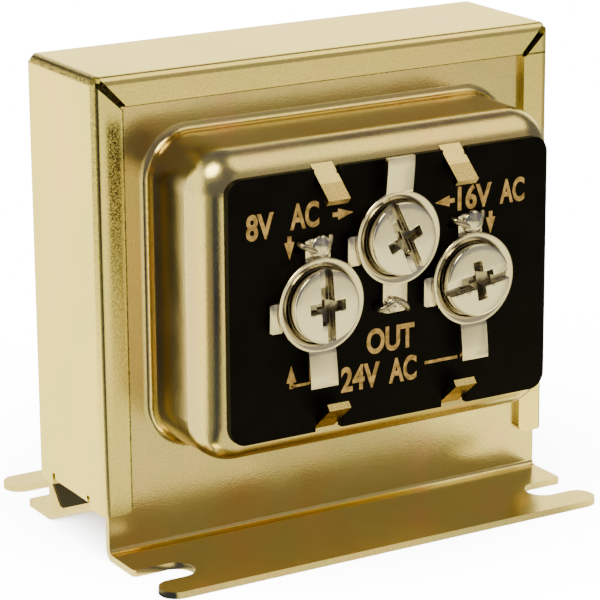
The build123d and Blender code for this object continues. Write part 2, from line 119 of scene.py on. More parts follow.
def passivated_zinc(name, shades, patch_size, streak):
    """Zinc plate under yellow chromate: a satin metal in soft patches of straw, pink and green."""
    material, tree, shader, place = new_material(name, metallic=1.0)
    # Interference colours drift over several millimetres, drawn out in height
    stretched = add(tree, "ShaderNodeMapping", {"Scale": (1, 1, streak), "Vector": place})
    film, drift = mottle(
        tree, shader, stretched.outputs["Vector"], patch_size, 3.0, shades, 0.3, 0.72, 0.55
    )
    dull = add(
        tree, "ShaderNodeMapRange",
        {"Value": drift, "From Min": 0.35, "From Max": 0.7, "To Min": 0.16, "To Max": 0.25},
    )
    tree.links.new(dull.outputs["Result"], shader.inputs["Roughness"])
    # The plated grain is too fine to show, so it is drawn 0.24 mm coarse. It dims the film a
    # little and breaks up the reflections.
    grain = add(
        tree, "ShaderNodeTexNoise", {"Scale": 1 / (0.2381 * mm), "Detail": 2.0, "Vector": place}
    )
    grain_shade = add(
        tree, "ShaderNodeMapRange",
        {"Value": grain.outputs["Fac"], "From Min": 0.3, "From Max": 0.7, "To Min": 0.88, "To Max": 1.04},
    )
    # Rolling and drawing leave the sheet slightly wavy, over about 6 mm
    waves = add(
        tree, "ShaderNodeTexNoise", {"Scale": 1 / (6.25 * mm), "Detail": 1.0, "Vector": place}
    )
    # The domes' side walls face sideways, stand out of the plates and keep clear of the strap
    facing = add(tree, "ShaderNodeNewGeometry").outputs["Normal"]
    facing_x = add(tree, "ShaderNodeSeparateXYZ", {"Vector": facing}).outputs["X"]
    where = add(tree, "ShaderNodeSeparateXYZ", {"Vector": place})
    sideways, stands_out, off_middle = (
        add(tree, "ShaderNodeMath", {0: value}, operation="ABSOLUTE").outputs["Value"]
        for value in (facing_x, where.outputs["Y"], where.outputs["X"])
    )
    side_wall = soft_part(
        tree, (sideways, 0.85, 0.97), (stands_out, 8.6 * mm, 9.6 * mm),
        (off_middle, 25.0 * mm, 24.5 * mm),
    )
    # Painted shade: the side walls take a greyer, slightly darker colour, which dims their reflections
    painted_wall_shade = add(
        tree, "ShaderNodeMix", {0: side_wall, 6: film, 7: linear("#cabc9e")}, data_type="RGBA"
    )
    shaded = add(
        tree, "ShaderNodeVectorMath",
        {0: painted_wall_shade.outputs[2], 1: grain_shade.outputs["Result"]}, operation="MULTIPLY",
    )
    tree.links.new(shaded.outputs["Vector"], shader.inputs["Base Color"])
    # They lean out a little more than their nominal draft
    wall_lean = 0.085
    front_or_rear = add(tree, "ShaderNodeMath", {0: where.outputs["Y"]}, operation="SIGN")
    lean = gathered(tree, "MULTIPLY", side_wall, front_or_rear.outputs["Value"])
    leaning = add(
        tree, "ShaderNodeVectorMath", {0: (0, wall_lean, 0), 1: lean, 2: facing},
        operation="MULTIPLY_ADD",
    )
    wavy = add(tree, "ShaderNodeBump", {
        "Strength": 0.35, "Distance": 0.1 * mm,
        "Height": waves.outputs["Fac"], "Normal": leaning.outputs["Vector"],
    })
    grained = add(tree, "ShaderNodeBump", {
        "Strength": 0.5, "Distance": 0.02 * mm,
        "Height": grain.outputs["Fac"], "Normal": wavy.outputs["Normal"],
    })
    tree.links.new(grained.outputs["Normal"], shader.inputs["Normal"])
    return material


def dress(material, *node_names):
    """Gives CAD nodes their finish."""
    for node_name in node_names:
        for slot in nodes[node_name].material_slots:
            slot.material = material


strap_plate = passivated_zinc(
    "yellow_chromated_zinc_rolled", ("#f8da9e", "#f5df94", "#ede292", "#f7da9c"), 14.0, 0.45
)
dress(strap_plate, "housing_strap")


def paint_speckled_shade(material, colour, part, evenness=0.5):
    """Paints shade on part of a plated surface: darkens it with fine specks."""
    tree = material.node_tree
    base = tree.nodes["Principled BSDF"].inputs["Base Color"]
    unshaded_colour = base.links[0].from_socket
    place = add(tree, "ShaderNodeTexCoord").outputs["Object"]
    where = add(tree, "ShaderNodeSeparateXYZ", {"Vector": place})
    # Specks are about 0.12 mm across
    specks = add(
        tree, "ShaderNodeTexNoise", {"Scale": 1 / (0.11765 * mm), "Detail": 1.0, "Vector": place}
    )
    speckle = add(
        tree, "ShaderNodeMapRange",
        {"Value": specks.outputs["Fac"], "From Min": 0.38, "From Max": 0.62, "To Min": evenness},
        interpolation_type="SMOOTHSTEP",
    )
    amount = gathered(tree, "MULTIPLY", part(tree, *where.outputs), speckle.outputs["Result"])
    painted_shade_mix = add(
        tree, "ShaderNodeMix", {0: amount, 6: unshaded_colour, 7: linear(colour)}, data_type="RGBA"
    )
    tree.links.new(painted_shade_mix.outputs[2], base)


def beside(tree, value, line, half_width, soft):
    """The soft edge of a band along a line, as soft_part takes it."""
    across = add(tree, "ShaderNodeMath", {0: value, 1: line}, operation="SUBTRACT")
    distance = add(tree, "ShaderNodeMath", {0: across.outputs["Value"]}, operation="ABSOLUTE")
    return distance.outputs["Value"], half_width + soft, half_width


strap_low, strap_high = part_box("housing_strap")
lip_width = 3.5 * mm
lip_inner_x = strap_low[0] + lip_width
lip_inner_z = strap_high[2] - lip_width


def painted_strap_shade_and_reflections(tree, x, y, z):
    """Painted shade and reflections: a speckled dark reflection down the left lip, shadow lines along the
    lips' inner edges, and dark along the left bend and the top-left corner.
    """
    on_lip = (y, -8.0 * mm, -8.3 * mm)
    # The painted dark reflection runs down the left lip
    streak = soft_part(
        tree, on_lip, beside(tree, x, strap_low[0] + 2.25 * mm, 0.5 * mm, 0.7 * mm),
        (z, 10 * mm, 45 * mm), (z, 51.5 * mm, 49 * mm),
    )
    left_edge = soft_part(
        tree, on_lip, beside(tree, x, lip_inner_x, 0.15 * mm, 0.08 * mm),
        (z, lip_inner_z + 0.1 * mm, lip_inner_z - 0.2 * mm),
    )
    top_edge = soft_part(
        tree, on_lip, beside(tree, z, lip_inner_z, 0.09 * mm, 0.06 * mm),
        (x, lip_inner_x, lip_inner_x + 0.2 * mm),
    )
    left_bend = soft_part(
        tree, (x, strap_low[0] + 0.75 * mm, strap_low[0] + 0.45 * mm),
        (y, -7.2 * mm, -7.6 * mm), (z, 5 * mm, 50 * mm), most=0.8,
    )
    corner = soft_part(
        tree, (x, strap_low[0] + 1.1 * mm, strap_low[0] + 0.8 * mm),
        (z, strap_high[2] - 1.1 * mm, strap_high[2] - 0.8 * mm),
    )
    return gathered(tree, "MAXIMUM", streak, left_edge, top_edge, left_bend, corner)


# Painted shade and reflections on the strap's lips, left bend and top-left corner
paint_speckled_shade(strap_plate, "#2c2518", painted_strap_shade_and_reflections)

# Covers: two pressings of the same plated sheet, drawn to a dome, with a slotted foot each.
# Their film is darker and less even than the strap's.
cover_plate = passivated_zinc(
    "yellow_chromated_zinc_drawn", ("#dfc48e", "#dcc892", "#d4c992", "#e0c298"), 9.0, 0.7
)
dress(cover_plate, "front_cover", "rear_cover")


def painted_tab_shade(tree, x, y, z):
    """Painted shade on the ends of the lanced tabs: a darker tone for their dim reflection."""
    tabs_middle = 30.465 * mm
    stands_out = add(tree, "ShaderNodeMath", {0: y}, operation="ABSOLUTE").outputs["Value"]
    return soft_part(
        tree, (stands_out, 20.35 * mm, 20.45 * mm),
        beside(tree, z, tabs_middle, 13.15 * mm, 0.2 * mm), most=0.85,
    )


def painted_shadow_under_lips(tree, x, y, z):
    """Painted shadow on the plate where the strap's lips lie on it: dark in the gap and along their
    edges.
    """
    above_foot = (z, 6 * mm, 7 * mm)
    at_side = soft_part(tree, above_foot, (x, lip_inner_x + 0.16 * mm, lip_inner_x + 0.08 * mm))
    at_top = soft_part(tree, above_foot, (z, lip_inner_z - 0.16 * mm, lip_inner_z - 0.08 * mm))
    return gathered(tree, "MAXIMUM", at_side, at_top)


# Painted shade on the lanced tabs' ends
paint_speckled_shade(cover_plate, "#86714d", painted_tab_shade)
# Painted shadow under and along the strap's lips
paint_speckled_shade(cover_plate, "#0c0a07", painted_shadow_under_lips, 0.95)


# Core: E and I laminations of silicon steel, stamped, stacked and varnished.
# The stack shows its sheets' edges as fine lines across the underside.
def ridges(tree, along, spacing):
    """Fine parallel ridges, spaced in millimetres."""
    phase = gathered(tree, "MULTIPLY", along, 2 * math.pi / (spacing * mm))
    return add(tree, "ShaderNodeMath", {0: phase}, operation="SINE").outputs["Value"]


core_steel, tree, shader, place = new_material("silicon_steel_stamped_varnished", 0.45, 1.0)
mottle(tree, shader, place, 2.5, 3.0, ("#3d3f40", "#77726a"))
across = add(tree, "ShaderNodeSeparateXYZ", {"Vector": place}).outputs["Y"]
# Sheets are 0.5 mm thick
stacked = add(tree, "ShaderNodeBump", {
    "Strength": 0.5, "Distance": 0.05 * mm, "Height": ridges(tree, across, 0.5),
})
tree.links.new(stacked.outputs["Normal"], shader.inputs["Normal"])
dress(core_steel, "e_laminations", "i_laminations")

# Coil: a moulded nylon bobbin with two enamelled copper windings and varnished paper.
# It is closed in by the covers and shows only through their openings.
# Natural nylon is a cloudy cream.
nylon, tree, shader, place = new_material("nylon_natural_moulded")
mottle(tree, shader, place, 4.0, 2.0, ("#ddd6c2", "#ece6d6"))
dress(nylon, "bobbin")

# Enamel turns the copper a glossy brown, and the turns lie 0.4 mm apart
copper, tree, shader, place = new_material("copper_wire_enamelled_wound", 0.3, 1.0)
mottle(tree, shader, place, 3.333, 2.0, ("#8c4a22", "#b4672f"))
height = add(tree, "ShaderNodeSeparateXYZ", {"Vector": place}).outputs["Z"]
wound = add(tree, "ShaderNodeBump", {
    "Strength": 0.8, "Distance": 0.1 * mm, "Height": ridges(tree, height, 0.4),
})
tree.links.new(wound.outputs["Normal"], shader.inputs["Normal"])
dress(copper, "primary_winding", "secondary_winding")

# Varnish turns the paper ochre and shows its fibres
paper, tree, shader, place = new_material("crepe_paper_varnished", 0.6)
mottle(tree, shader, place, 0.6667, 5.0, ("#a58752", "#c9ab72"))
dress(paper, "interwinding_paper", "outer_wrap")

# Liners: black vulcanised-fibre sheet, die cut, clamped between the core and each cover.
# Its fibres give a dull, faintly brown black.
fibre_sheet, tree, shader, place = new_material("vulcanised_fibre_die_cut", 0.7)
mottle(tree, shader, place, 0.4545, 5.0, ("#14110d", "#2a241c"))
dress(fibre_sheet, "front_liner", "rear_liner")

# Terminal board: black paper-phenolic sheet, punched, 0.8 mm thick, held by the front cover's tabs.
# It is nearly black and hardly shines, with a faint mottle and fine pits.
phenolic, tree, shader, place = new_material("paper_phenolic_black_punched", 0.55)
mottle(tree, shader, place, 2.857, 4.0, ("#050403", "#0d0a08"), 0.35, 0.75)
pits = add(tree, "ShaderNodeTexNoise", {"Scale": 1 / (0.4 * mm), "Detail": 2.0, "Vector": place})
pitted = add(tree, "ShaderNodeBump", {
    "Strength": 0.25, "Distance": 0.03 * mm, "Height": pits.outputs["Fac"],
})
tree.links.new(pitted.outputs["Normal"], shader.inputs["Normal"])
shader.inputs["Specular IOR Level"].default_value = 0.06
dress(phenolic, "terminal_board")

# Terminals: three pressed brass cups, bright nickel plated, each with a strap tab, a solder
# lug and an ear. The cup is drawn, its rim rolled, and its collar flared behind the board.
# The nickel is a pale, faintly warm mirror with press marks 0.56 mm apart.
bright_nickel, tree, shader, place = new_material("nickel_plate_on_pressed_brass", 0.2, 1.0)
mottle(tree, shader, place, 2.222, 3.0, ("#e2d8c4", "#f2ede2"))
marks = add(tree, "ShaderNodeTexNoise", {"Scale": 1 / (0.5556 * mm), "Detail": 3.0, "Vector": place})
marked = add(tree, "ShaderNodeBump", {
    "Strength": 0.15, "Distance": 0.03 * mm, "Height": marks.outputs["Fac"],
})
tree.links.new(marked.outputs["Normal"], shader.inputs["Normal"])


def settle(piece, name, material, *node_names):
    """Applies a piece's place and modifiers, and makes it stand for its CAD nodes."""
    bpy.ops.object.select_all(action="DESELECT")
    bpy.context.view_layer.objects.active = piece
    piece.select_set(True)
    bpy.ops.object.transform_apply(location=True, rotation=True, scale=True)
    for modifier in list(piece.modifiers):
        bpy.ops.object.modifier_apply(modifier=modifier.name)
    piece.name = name
    piece.data.materials.clear()
    piece.data.materials.append(material)
    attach(piece, "root")
    if node_names:
        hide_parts(*node_names)
    return piece


def lathe(profile, sides):
    """A turned skin from (radius, height) pairs in millimetres, around Z, closed at both ends."""
    bpy.ops.object.select_all(action="DESELECT")
    first_radius, first_height = profile[0]
    bpy.ops.mesh.primitive_circle_add(
        vertices=sides, radius=first_radius * mm, fill_type="NGON", location=(0, 0, 0)
    )
    piece = bpy.context.object
    bpy.ops.object.mode_set(mode="EDIT")
    bpy.ops.mesh.select_all(action="SELECT")
    bpy.ops.transform.translate(value=(0, 0, first_height * mm))
    for (radius, height), (next_radius, next_height) in zip(profile, profile[1:]):
        bpy.ops.mesh.extrude_region_move(
            TRANSFORM_OT_translate={"value": (0, 0, (next_height - height) * mm)}
        )
        factor = next_radius / radius
        bpy.ops.transform.resize(value=(factor, factor, 1), center_override=(0, 0, next_height * mm))
    bpy.ops.mesh.select_all(action="SELECT")
    bpy.ops.mesh.normals_make_consistent(inside=False)
    bpy.ops.object.mode_set(mode="OBJECT")
    return piece


def ease_edges(piece, width, angle):
    """Rounds the edges that turn by more than an angle in degrees, by a width in millimetres."""
    eased = piece.modifiers.new("edges", "BEVEL")
    eased.width = width * mm
    eased.segments = 2
    eased.limit_method = "ANGLE"
    eased.angle_limit = math.radians(angle)
    bpy.ops.object.modifier_apply(modifier=eased.name)


def bent_strip(width, thickness, path, end_round):
    """A strip of sheet that runs up along Y through (distance, height) pairs in millimetres."""
    bpy.ops.object.select_all(action="DESELECT")
    bpy.ops.mesh.primitive_plane_add(size=1, location=(0, 0, 0))
    piece = bpy.context.object
    piece.scale = (width * mm, 1, 1)
    bpy.ops.object.transform_apply(location=False, rotation=False, scale=True)
    mesh = piece.data
    # A sliver across the start of the path, whose far edge is then drawn out along it
    start_y, start_z = path[0]
    sliver = 0.01 * mm
    for vertex in mesh.vertices:
        vertex.co.y = start_y * mm + (0 if vertex.co.y < 0 else sliver)
        vertex.co.z = start_z * mm
    bpy.ops.object.mode_set(mode="EDIT")
    bpy.ops.mesh.select_all(action="DESELECT")
    bpy.ops.object.mode_set(mode="OBJECT")
    far = max(vertex.co.y for vertex in mesh.vertices)
    for edge in mesh.edges:
        edge.select = all(abs(mesh.vertices[v].co.y - far) < 1e-9 for v in edge.vertices)
    for vertex in mesh.vertices:
        vertex.select = abs(vertex.co.y - far) < 1e-9
    bpy.ops.object.mode_set(mode="EDIT")
    bpy.ops.mesh.select_mode(type="EDGE")
    for (near_y, near_z), (far_y, far_z) in zip(path, path[1:]):
        bpy.ops.mesh.extrude_region_move(
            TRANSFORM_OT_translate={"value": (0, (far_y - near_y) * mm, (far_z - near_z) * mm)}
        )
    if end_round < 1:
        bpy.ops.transform.resize(value=(end_round, 1, 1))
    bpy.ops.mesh.select_all(action="SELECT")
    bpy.ops.mesh.normals_make_consistent(inside=False)
    bpy.ops.object.mode_set(mode="OBJECT")
    if mesh.polygons[0].normal.z < 0:
        mesh.flip_normals()
    wall = piece.modifiers.new("sheet", "SOLIDIFY")
    wall.thickness = thickness * mm
    wall.offset = -1
    bpy.ops.object.modifier_apply(modifier=wall.name)
    ease_edges(piece, 0.09, 20)
    return piece


def join_as(pieces):
    """Joins pieces into the first one."""
    bpy.ops.object.select_all(action="DESELECT")
    for piece in pieces:
        piece.select_set(True)
    bpy.context.view_layer.objects.active = pieces[0]
    bpy.ops.object.join()
    return pieces[0]


# On the board X is right, Y up and Z towards the viewer; +90 degrees about X stands it up
facing_out = math.pi / 2
board_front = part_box("terminal_board")[0][1]
places = {}
for place_name in ("left", "centre", "right"):
    low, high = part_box("screw_" + place_name)
    places[place_name] = ((low[0] + high[0]) / 2, (low[2] + high[2]) / 2)
# The outer lugs point up and the centre one down, each this far from its cup's middle
lug_up = {"left": 1, "centre": -1, "right": 1}
lug_reach = {"left": 7.3, "centre": 8.6, "right": 7.3}
cup_profile = (
    (2.2, 0.05), (4.75, 0.05), (5.0, 0.45), (5.2, 0.9), (5.3, 1.2), (5.29, 1.33), (5.22, 1.42),
    (5.1, 1.45), (4.95, 1.43), (4.5, 1.3), (4.38, 1.22), (4.33, 1.08), (4.3, 0.8), (4.26, 0.66),
    (4.15, 0.62), (2.0, 0.62),
)
tab_path = ((4.75, 1.25), (5.0, 1.42), (5.3, 1.5), (5.55, 1.55), (7.75, 1.83), (7.95, 1.85), (9.1, 1.9))
ear_path = ((4.3, 0.6), (4.6, 0.9), (4.9, 1.0), (5.9, 1.0), (6.2, 0.9))
ear_drop = 0.8 * mm
for place_name, (x, z) in places.items():
    up, reach = lug_up[place_name], lug_reach[place_name]
    lug_path = (
        (4.2, 0.62), (4.9, 0.6), (5.5, 0.6), (reach - 1.3, 0.58), (reach - 0.6, 0.58),
        (reach - 0.2, 0.57), (reach, 0.54),
    )
    cup = lathe(cup_profile, 96)
    tab = bent_strip(3.4, 0.55, tab_path, 1.0)
    lug = bent_strip(3.1, 0.5, lug_path, 0.62)
    ear = bent_strip(3.3, 0.55, ear_path, 0.9)
    # The tab points away from the lug; the ear points left, a little below the middle
    tab.rotation_euler = (0, 0, math.pi if up > 0 else 0)
    lug.rotation_euler = (0, 0, 0 if up > 0 else math.pi)
    ear.rotation_euler = (0, 0, math.pi / 2)
    ear.location = (0, -ear_drop, 0)
    bpy.ops.object.select_all(action="DESELECT")
    for piece in (tab, lug, ear):
        piece.select_set(True)
    bpy.ops.object.transform_apply(location=True, rotation=True, scale=True)
    terminal = join_as([cup, tab, lug, ear])
    bpy.ops.object.shade_smooth_by_angle(angle=math.radians(35))
    terminal.rotation_euler = (facing_out, 0, 0)
    terminal.location = (x, board_front, z)
    settle(terminal, "pressed_terminal_" + place_name, bright_nickel, "terminal_" + place_name)

# Terminal screws: steel, cold headed, the driving slot and cross punched, nickel plated.
# The punch leaves a faint crown on the face and sharp edges. The plate is bright and pale,
# with scuffs 0.38 mm apart.
screw_steel, tree, shader, place = new_material("nickel_plate_on_cold_headed_steel", 0.16, 1.0)
unshaded_plate = mottle(tree, shader, place, 1.667, 4.0, ("#e6dfd0", "#f6f2ea"))[0]
# Painted shade: the punched recess and the side of the head are darkened
depth = add(tree, "ShaderNodeSeparateXYZ", {"Vector": place}).outputs["Y"]
head_face = board_front - 2.6 * mm
painted_recess_shade = soft_part(tree, (depth, head_face + 0.35 * mm, head_face + 0.75 * mm), most=0.62)
recess_colour_painted_dark = add(
    tree, "ShaderNodeMix", {0: painted_recess_shade, 6: unshaded_plate, 7: linear("#4a3d2c")}, data_type="RGBA"
)
tree.links.new(recess_colour_painted_dark.outputs[2], shader.inputs["Base Color"])
scuffs = add(tree, "ShaderNodeTexNoise", {"Scale": 1 / (0.3846 * mm), "Detail": 3.0, "Vector": place})
scuffed = add(tree, "ShaderNodeBump", {
    "Strength": 0.1, "Distance": 0.02 * mm, "Height": scuffs.outputs["Fac"],
})
tree.links.new(scuffed.outputs["Normal"], shader.inputs["Normal"])

# From the end of the shank up, out under the head and over its crown
screw_profile = (
    (1.9, -4.0), (2.05, -3.6), (2.05, 0.02), (3.2, 0.02), (3.25, 0.3), (3.95, 0.36), (4.03, 0.46),
    (4.05, 0.6), (4.05, 1.75), (4.02, 1.9), (3.95, 1.98), (3.75, 2.03), (3.1, 2.068), (2.3, 2.103),
    (1.4, 2.126), (0.6, 2.138), (0.2, 2.14),
)


def punch(width, length, depth, narrowing, aside=0.0):
    """A tapered cutter in millimetres, whose wide end stands proud of the head."""
    top = 2.5
    bpy.ops.object.select_all(action="DESELECT")
    bpy.ops.mesh.primitive_cube_add(size=1, location=(0, 0, 0))
    cutter = bpy.context.object
    for vertex in cutter.data.vertices:
        at_top = vertex.co.z > 0
        vertex.co.x = (vertex.co.x * (width if at_top else width - narrowing) + aside) * mm
        vertex.co.y *= (length if at_top else length - narrowing) * mm
        vertex.co.z = (top if at_top else top - depth) * mm
    return cutter


head_seat = 0.6 * mm
head_tilt = math.radians(3.4)
left_turned_to = {"left": 1.0, "centre": 23.0, "right": -82.0}
for place_name, (x, z) in places.items():
    screw = lathe(screw_profile, 96)
    # A broad shallow slot, a deeper one along its right side, and the cross with its pit
    cutters = (
        punch(1.7, 9.6, 0.85, 0.1),
        punch(0.8, 9.6, 1.5, 0.1, 0.42),
        punch(4.5, 1.25, 2.0, 0.3),
        punch(1.7, 4.4, 2.0, 0.4),
        punch(1.9, 1.9, 2.5, 1.1),
    )
    bpy.context.view_layer.objects.active = screw
    for cutter in cutters:
        cut = screw.modifiers.new("punch", "BOOLEAN")
        cut.operation = "DIFFERENCE"
        cut.solver = "EXACT"
        cut.object = cutter
        bpy.ops.object.modifier_apply(modifier=cut.name)
        bpy.data.objects.remove(cutter)
    bpy.ops.object.select_all(action="DESELECT")
    screw.select_set(True)
    ease_edges(screw, 0.05, 40)
    bpy.ops.object.shade_smooth_by_angle(angle=math.radians(35))
    # Each head is tilted a little, and its slot leans with the turn it was left at
    screw.matrix_world = (
        Matrix.Translation((x, board_front - head_seat, z))
        @ Matrix.Rotation(facing_out - head_tilt, 4, "X")
        @ Matrix.Rotation(math.radians(left_turned_to[place_name]), 4, "Z")
    )
    settle(screw, "terminal_screw_" + place_name, screw_steel, "screw_" + place_name)

# Secondary leads: tinned copper wire, bent by hand over each lug and soldered.
# The wire is a mottled dull grey, the solder a bright ragged lump with a frosted skin.
tinned, tree, shader, place = new_material("tinned_copper_wire_drawn", 0.35, 1.0)
mottle(tree, shader, place, 1.111, 3.0, ("#8d857a", "#c2bbb0"))

solder_metal, tree, shader, place = new_material("tin_lead_solder_cooled", 0.22, 1.0)
colour, frost = mottle(tree, shader, place, 0.6667, 4.0, ("#bdb6aa", "#efece6"))
frosted = add(tree, "ShaderNodeBump", {"Strength": 0.3, "Distance": 0.05 * mm, "Height": frost})
tree.links.new(frosted.outputs["Normal"], shader.inputs["Normal"])

# The outer lugs carry a wide smooth lump, the centre one a small craggy one
wide_lump = {"size": (1.3, 1.35, 0.62), "ripple": 1.3, "relief": 0.3, "aside": 0.25}
small_lump = {"size": (1.1, 0.8, 0.6), "ripple": 0.7, "relief": 0.55, "aside": -0.4}
for place_name, (x, z) in places.items():
    up = lug_up[place_name]
    joint = lug_reach[place_name] - 1.0
    bpy.ops.object.select_all(action="DESELECT")
    bpy.ops.curve.primitive_bezier_curve_add(location=(0, 0, 0))
    wire = bpy.context.object
    wire.data.splines.clear()
    run = wire.data.splines.new("NURBS")
    # Out from behind the board, over the lug from its left side and round to the right
    route = (
        (-2.05, joint + 0.5, -1.5), (-2.05, joint + 0.5, 0.0), (-1.95, joint + 0.4, 0.85),
        (-1.1, joint, 1.05), (-0.1, joint - 0.5, 0.95), (0.7, joint - 0.2, 0.9),
        (1.5, joint + 0.5, 0.75), (1.75, joint + 0.9, 0.3),
    )
    run.points.add(len(route) - 1)
    for point, (side_x, along, out) in zip(run.points, route):
        point.co = (side_x * mm, up * along * mm, out * mm, 1)
    run.order_u = 3
    run.use_endpoint_u = True
    wire.data.bevel_depth = 0.34 * mm
    wire.data.bevel_resolution = 4
    wire.data.resolution_u = 8
    wire.data.use_fill_caps = True
    bpy.ops.object.convert(target="MESH")
    wire = bpy.context.object
    bpy.ops.object.shade_smooth()
    wire.rotation_euler = (facing_out, 0, 0)
    wire.location = (x, board_front, z)
    settle(wire, "soldered_lead_" + place_name, tinned, "secondary_lead_" + place_name)

    form = wide_lump if up > 0 else small_lump
    bpy.ops.object.select_all(action="DESELECT")
    bpy.ops.mesh.primitive_ico_sphere_add(subdivisions=4, radius=1.0 * mm, location=(0, 0, 0))
    lump = bpy.context.object
    lump.scale = form["size"]
    bpy.ops.object.transform_apply(location=False, rotation=False, scale=True)
    ripple = bpy.data.textures.new("solder_ripple_" + place_name, "CLOUDS")
    ripple.noise_scale = form["ripple"] * mm
    ragged = lump.modifiers.new("ragged", "DISPLACE")
    ragged.texture = ripple
    ragged.strength = form["relief"] * mm
    ragged.mid_level = 0.5
    bpy.ops.object.modifier_apply(modifier=ragged.name)
    bpy.ops.object.shade_smooth()
    lump.location = (form["aside"] * mm, up * joint * mm, 0.8 * mm)
    bpy.ops.object.transform_apply(location=True, rotation=False, scale=False)
    lump.rotation_euler = (facing_out, 0, 0)
    lump.location = (x, board_front, z)
    settle(lump, "solder_lump_" + place_name, solder_metal, "solder_joint_" + place_name)

# Board print: gold ink, screen printed, thin enough to go brown in places.
# Voltages, arrows and leader lines mark the terminals.
gold_ink, tree, shader, place = new_material("gold_ink_screen_printed", 0.45, 0.3)
mottle(tree, shader, place, 0.625, 4.0, ("#8a6a2e", "#dcb060"), 0.3, 0.65)


def print_text(words, left, base, height, width):
    """Words on the board, their left end, base line, height and width in millimetres."""
    # Ink spreads, which thickens the strokes
    spread = 0.03
    bpy.ops.object.select_all(action="DESELECT")
    bpy.ops.object.text_add(location=(0, 0, 0))
    text = bpy.context.object
    text.data.body = words
    text.data.offset = spread
    bpy.ops.object.convert(target="MESH")
    text = bpy.context.object
    corners = [vertex.co for vertex in text.data.vertices]
    low_x, high_x = min(c.x for c in corners), max(c.x for c in corners)
    low_y, high_y = min(c.y for c in corners), max(c.y for c in corners)
    for vertex in text.data.vertices:
        vertex.co.x = (left + (vertex.co.x - low_x) / (high_x - low_x) * width) * mm
        vertex.co.y = (base + (vertex.co.y - low_y) / (high_y - low_y) * height) * mm
        vertex.co.z = 0
    return text


def print_shape(corners):
    """A flat printed shape from its corners in millimetres."""
    bpy.ops.object.select_all(action="DESELECT")
    bpy.ops.mesh.primitive_circle_add(
        vertices=len(corners), radius=1, fill_type="NGON", location=(0, 0, 0)
    )
    shape = bpy.context.object
    for vertex, (corner_x, corner_y) in zip(shape.data.vertices, corners):
        vertex.co = (corner_x * mm, corner_y * mm, 0)
    return shape


def arrow(tip_x, tip_y, angle):
    """A slender printed arrowhead with a short tail, 2.6 mm long."""
    turn = math.radians(angle)
    outline = (
        (0, 0), (-1.9, 0.62), (-1.95, 0.24), (-2.6, 0.24), (-2.6, -0.24), (-1.95, -0.24), (-1.9, -0.62)
    )
    return print_shape([
        (tip_x + a * math.cos(turn) - b * math.sin(turn), tip_y + a * math.sin(turn) + b * math.cos(turn))
        for a, b in outline
    ])


prints = [
    print_text("8V", -18.3, 38.4, 2.9, 3.4),
    print_text("AC", -12.9, 38.9, 2.9, 3.6),
    arrow(-5.0, 39.9, 0), arrow(-13.0, 35.7, 270),
    print_text("16V", 8.5, 38.1, 2.8, 4.5),
    print_text("AC", 14.1, 38.1, 2.8, 3.3),
    arrow(5.5, 39.4, 180), arrow(12.9, 34.9, 270),
    print_text("OUT", -3.3, 23.4, 2.9, 6.2),
    print_text("24V", -6.6, 19.6, 2.9, 5.0),
    print_text("AC", -0.4, 19.6, 2.9, 3.6),
    print_shape(((4.3, 21.1), (8.6, 21.1), (8.6, 21.45), (4.3, 21.45))),
    print_shape(((-12.9, 21.3), (-10.6, 21.3), (-10.6, 21.6), (-12.9, 21.6))),
    arrow(-12.9, 23.8, 90),
]
ink_height = 0.012 * mm
board_print = join_as(prints)
board_print.rotation_euler = (facing_out, 0, 0)
board_print.location = (0, board_front - ink_height, 0)
settle(board_print, "board_print", gold_ink)

# Rear bush: moulded black nylon, pushed into the rear dome until its lip snaps behind the sheet.
# The spark-eroded mould leaves it dull, with pits 0.33 mm apart.
bush_nylon, tree, shader, place = new_material("nylon_black_moulded", 0.45)
colour, spark = mottle(tree, shader, place, 0.3333, 2.0, ("#0f0f0f", "#1c1b1a"))
sparked = add(tree, "ShaderNodeBump", {"Strength": 0.3, "Distance": 0.03 * mm, "Height": spark})
tree.links.new(sparked.outputs["Normal"], shader.inputs["Normal"])
dress(bush_nylon, "rear_lead_bush")

# Studio: a pale floor in soft even light, large soft lights around the part, and the camera at
# the front left. Polished metal sees the floor and the lights through dimmer copies of their own.
bpy.ops.object.select_all(action="DESELECT")
bpy.ops.mesh.primitive_plane_add(size=6, location=(0, 0, 0))
floor = bpy.context.object
floor.name = "floor"
pale, tree, shader, place = new_material("painted_board_pale", 0.9)
shader.inputs["Base Color"].default_value = linear("#f7f7f7")
shader.inputs["Specular IOR Level"].default_value = 0.1
floor.data.materials.append(pale)
floor.visible_glossy = False
floor.visible_diffuse = False

floor_only = bpy.data.collections.new("floor_only")
floor_only.objects.link(floor)
floor_light = bpy.data.lights.new("floor_light", "SUN")
floor_light.energy = 60.0
floor_light.angle = math.radians(100)
floor_lamp = bpy.data.objects.new("floor_light", floor_light)
floor_lamp.rotation_euler = (math.radians(18), math.radians(-12), 0)
bpy.context.scene.collection.objects.link(floor_lamp)
floor_lamp.light_linking.receiver_collection = floor_only

# The floor as the metal sees it: brightest behind, fairly bright in front, dim at the right
# and dark towards the front left. Bearings are taken from under the left end of the front foot.
bpy.ops.mesh.primitive_plane_add(size=6, location=(0, 0, -0.2 * mm))
mirrored_floor = bpy.context.object
mirrored_floor.name = "mirrored_floor"
glow_card, tree, shader, place = new_material("lit_board_warm")
where = add(tree, "ShaderNodeSeparateXYZ", {"Vector": place})
across_x, along_y = where.outputs["X"], where.outputs["Y"]
under_foot_end = (-23 * mm, -13 * mm, 0)
from_foot_end = add(tree, "ShaderNodeVectorMath", {0: place, 1: under_foot_end}, operation="SUBTRACT")
ahead = add(tree, "ShaderNodeSeparateXYZ", {"Vector": from_foot_end.outputs["Vector"]})
bearing = add(
    tree, "ShaderNodeMath", {0: ahead.outputs["Y"], 1: ahead.outputs["X"]}, operation="ARCTAN2"
).outputs["Value"]


